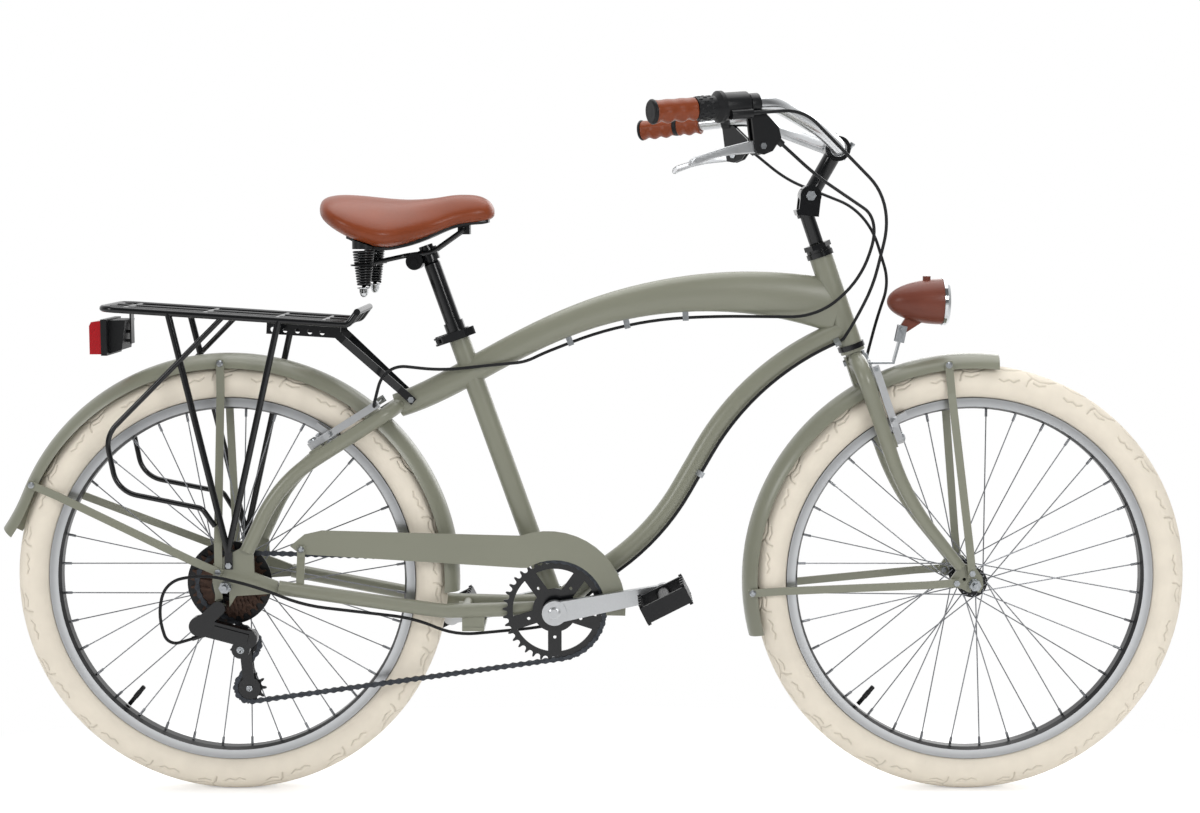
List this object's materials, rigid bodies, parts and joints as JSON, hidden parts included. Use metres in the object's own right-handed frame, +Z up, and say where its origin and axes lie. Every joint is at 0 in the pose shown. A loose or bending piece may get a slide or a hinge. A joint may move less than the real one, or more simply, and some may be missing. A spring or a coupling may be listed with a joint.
{
  "type": "beach cruiser bicycle",
  "caption": "Beach cruiser bicycle with a curved frame, swept bar, sprung saddle, rear rack, fenders, chain guard, headlight, rim brakes and a derailleur.",
  "frame": {"origin": "on the floor, half way between the two ends of the bicycle, on its middle plane", "axes": "+X towards the front wheel, +Y to the rider's left, +Z up"},
  "size_m": [1.831, 0.6924, 1.0679],
  "materials": {
    "frame_paint": "satin",
    "tyre": "matte",
    "black_metal": "satin",
    "steel": "satin",
    "chrome": "polished",
    "alloy": "satin",
    "leather": "satin",
    "black_plastic": "matte",
    "red_lens": "gloss",
    "clear_lens": "clear",
    "grey_plastic": "matte",
    "black_rubber": "matte"
  },
  "bodies": {
    "frame": {"main_frame": "frame_paint", "rear_frame": "frame_paint", "bearing_cups": "black_metal", "rear_axle": "steel", "derailleur_body": "black_metal", "chain": "steel", "rear_brake_cable": "black_rubber", "shift_cable": "black_rubber", "rear_fender": "frame_paint", "rear_fender_stays": "frame_paint", "chain_guard": "frame_paint", "rear_rack": "black_metal", "tail_light_lens": "red_lens", "tail_light_housing": "grey_plastic", "seat_clamp": "alloy", "frame_fittings": "steel"},
    "steering": {"fork": "frame_paint", "headset_nuts": "black_metal", "stem": "black_metal", "handlebar": "alloy", "grips": "leather", "bar_controls": "alloy", "front_axle": "steel", "front_fender": "frame_paint", "front_fender_stays": "frame_paint", "headlight_bracket": "black_metal", "front_brake_cable": "black_rubber", "steering_bolts": "steel"},
    "headlight": {"headlight_shell": "leather", "headlight_bezel": "chrome", "headlight_lens": "clear_lens"},
    "front_wheel": {"front_tyre": "tyre", "front_rim": "black_metal", "front_hub": "black_metal", "front_spokes": "black_metal"},
    "rear_wheel": {"rear_tyre": "tyre", "rear_rim": "black_metal", "rear_hub": "black_metal", "rear_spokes": "black_metal"},
    "freewheel": {"sprockets": "steel"},
    "crank": {"chainring": "black_metal", "crank_arms": "alloy"},
    "right_pedal": {"right_pedal": "black_metal"},
    "left_pedal": {"left_pedal": "black_metal"},
    "derailleur_cage": {"derailleur_cage": "black_metal"},
    "guide_pulley": {"guide_pulley": "black_plastic"},
    "tension_pulley": {"tension_pulley": "black_plastic"},
    "right_brake_lever": {"right_brake_lever": "alloy"},
    "left_brake_lever": {"left_brake_lever": "alloy"},
    "rear_right_brake_arm": {"rear_right_brake_arm": "alloy"},
    "rear_left_brake_arm": {"rear_left_brake_arm": "alloy"},
    "front_right_brake_arm": {"front_right_brake_arm": "alloy"},
    "front_left_brake_arm": {"front_left_brake_arm": "alloy"},
    "shifter_twist_grip": {"shifter_twist_grip": "black_rubber"},
    "seat": {"seat_post": "black_metal", "saddle_rails": "black_metal", "saddle_springs": "black_metal"},
    "saddle": {"saddle_base": "black_plastic", "saddle_cover": "leather"},
    "seat_clamp_lever": {"seat_clamp_lever": "black_metal"}
  },
  "joints": [
    {"name": "steer", "type": "hinge", "parent": "frame", "child": "steering", "pos_m": [0.34746, 0, 0.8329], "axis": [-0.3295, 0, 0.9441], "range_deg": [-60, 60], "deforming": ["rear_brake_cable", "shift_cable"]},
    {"name": "headlight_tilt", "type": "hinge", "parent": "steering", "child": "headlight", "pos_m": [0.47396, 0, 0.7212], "axis": [0, 1, 0], "range_deg": [-15, 15]},
    {"name": "front_wheel_spin", "type": "hinge", "parent": "steering", "child": "front_wheel", "pos_m": [0.58196, 0, 0.3335], "axis": [0, 1, 0], "continuous": true},
    {"name": "rear_wheel_spin", "type": "hinge", "parent": "frame", "child": "rear_wheel", "pos_m": [-0.56054, 0, 0.3335], "axis": [0, 1, 0], "continuous": true},
    {"name": "crank_spin", "type": "hinge", "parent": "frame", "child": "crank", "pos_m": [-0.06054, 0, 0.292], "axis": [0, 1, 0], "continuous": true, "deforming": ["chain"]},
    {"name": "freewheel_spin", "type": "hinge", "parent": "frame", "child": "freewheel", "pos_m": [-0.56054, 0, 0.3335], "axis": [0, 1, 0], "continuous": true},
    {"name": "right_pedal_spin", "type": "hinge", "parent": "crank", "child": "right_pedal", "pos_m": [0.10634, -0.1, 0.32444], "axis": [0, 1, 0], "continuous": true},
    {"name": "left_pedal_spin", "type": "hinge", "parent": "crank", "child": "left_pedal", "pos_m": [-0.22742, 0.1, 0.25956], "axis": [0, 1, 0], "continuous": true},
    {"name": "derailleur_cage_swing", "type": "hinge", "parent": "frame", "child": "derailleur_cage", "pos_m": [-0.53694, -0.045, 0.2395], "axis": [0, 1, 0], "range_deg": [-12, 12], "stiffness_Nm_per_rad": 2, "deforming": ["chain"]},
    {"name": "guide_pulley_spin", "type": "hinge", "parent": "derailleur_cage", "child": "guide_pulley", "pos_m": [-0.53694, -0.045, 0.2395], "axis": [0, 1, 0], "continuous": true},
    {"name": "tension_pulley_spin", "type": "hinge", "parent": "derailleur_cage", "child": "tension_pulley", "pos_m": [-0.53104, -0.045, 0.17075], "axis": [0, 1, 0], "continuous": true},
    {"name": "right_brake_squeeze", "type": "hinge", "parent": "steering", "child": "right_brake_lever", "pos_m": [0.23175, -0.26104, 0.99293], "axis": [-0.417, 0.9089, 0], "range_deg": [0, 20], "stiffness_Nm_per_rad": 2, "springref_deg": -8.59},
    {"name": "left_brake_squeeze", "type": "hinge", "parent": "steering", "child": "left_brake_lever", "pos_m": [0.23175, 0.26104, 0.99293], "axis": [0.417, 0.9089, 0], "range_deg": [0, 20], "stiffness_Nm_per_rad": 2, "springref_deg": -8.59},
    {"name": "rear_right_arm_close", "type": "hinge", "parent": "frame", "child": "rear_right_brake_arm", "pos_m": [-0.42685, -0.04, 0.54884], "axis": [-0.5356, 0, 0.8445], "range_deg": [0, 2], "deforming": ["rear_brake_cable"]},
    {"name": "rear_left_arm_close", "type": "hinge", "parent": "frame", "child": "rear_left_brake_arm", "pos_m": [-0.42685, 0.04, 0.54884], "axis": [0.5356, 0, -0.8445], "range_deg": [0, 2], "deforming": ["rear_brake_cable"]},
    {"name": "front_right_arm_close", "type": "hinge", "parent": "steering", "child": "front_right_brake_arm", "pos_m": [0.46454, -0.04, 0.55814], "axis": [-0.9441, 0, -0.3295], "range_deg": [0, 2], "deforming": ["front_brake_cable"]},
    {"name": "front_left_arm_close", "type": "hinge", "parent": "steering", "child": "front_left_brake_arm", "pos_m": [0.46454, 0.04, 0.55814], "axis": [0.9441, 0, 0.3295], "range_deg": [0, 2], "deforming": ["front_brake_cable"]},
    {"name": "shifter_twist", "type": "hinge", "parent": "steering", "child": "shifter_twist_grip", "pos_m": [0.08146, -0.33, 1.037], "axis": [0.9056, 0.4155, 0.0852], "range_deg": [0, 105]},
    {"name": "seat_height", "type": "slide", "parent": "frame", "child": "seat", "axis": [-0.3338, 0, 0.9426], "range_m": [0, 0.06]},
    {"name": "seat_clamp_open", "type": "hinge", "parent": "frame", "child": "seat_clamp_lever", "pos_m": [-0.23709, -0.0165, 0.70368], "axis": [0.3338, 0, -0.9426], "range_deg": [0, 150]},
    {"name": "saddle_bounce", "type": "hinge", "parent": "seat", "child": "saddle", "pos_m": [-0.19854, 0, 0.874], "axis": [0, -1, 0], "range_deg": [0, 2], "stiffness_Nm_per_rad": 1500, "deforming": ["saddle_springs"]}
  ],
  "couplings": [
    {"joint": "freewheel_spin", "follows": "crank_spin", "ratio": 1.5833},
    {"joint": "guide_pulley_spin", "follows": "crank_spin", "ratio": -3.4545},
    {"joint": "tension_pulley_spin", "follows": "crank_spin", "ratio": 3.4545},
    {"joint": "rear_right_arm_close", "follows": "right_brake_squeeze", "ratio": 0.1},
    {"joint": "rear_left_arm_close", "follows": "right_brake_squeeze", "ratio": 0.1},
    {"joint": "front_right_arm_close", "follows": "left_brake_squeeze", "ratio": 0.1},
    {"joint": "front_left_arm_close", "follows": "left_brake_squeeze", "ratio": 0.1}
  ]
}
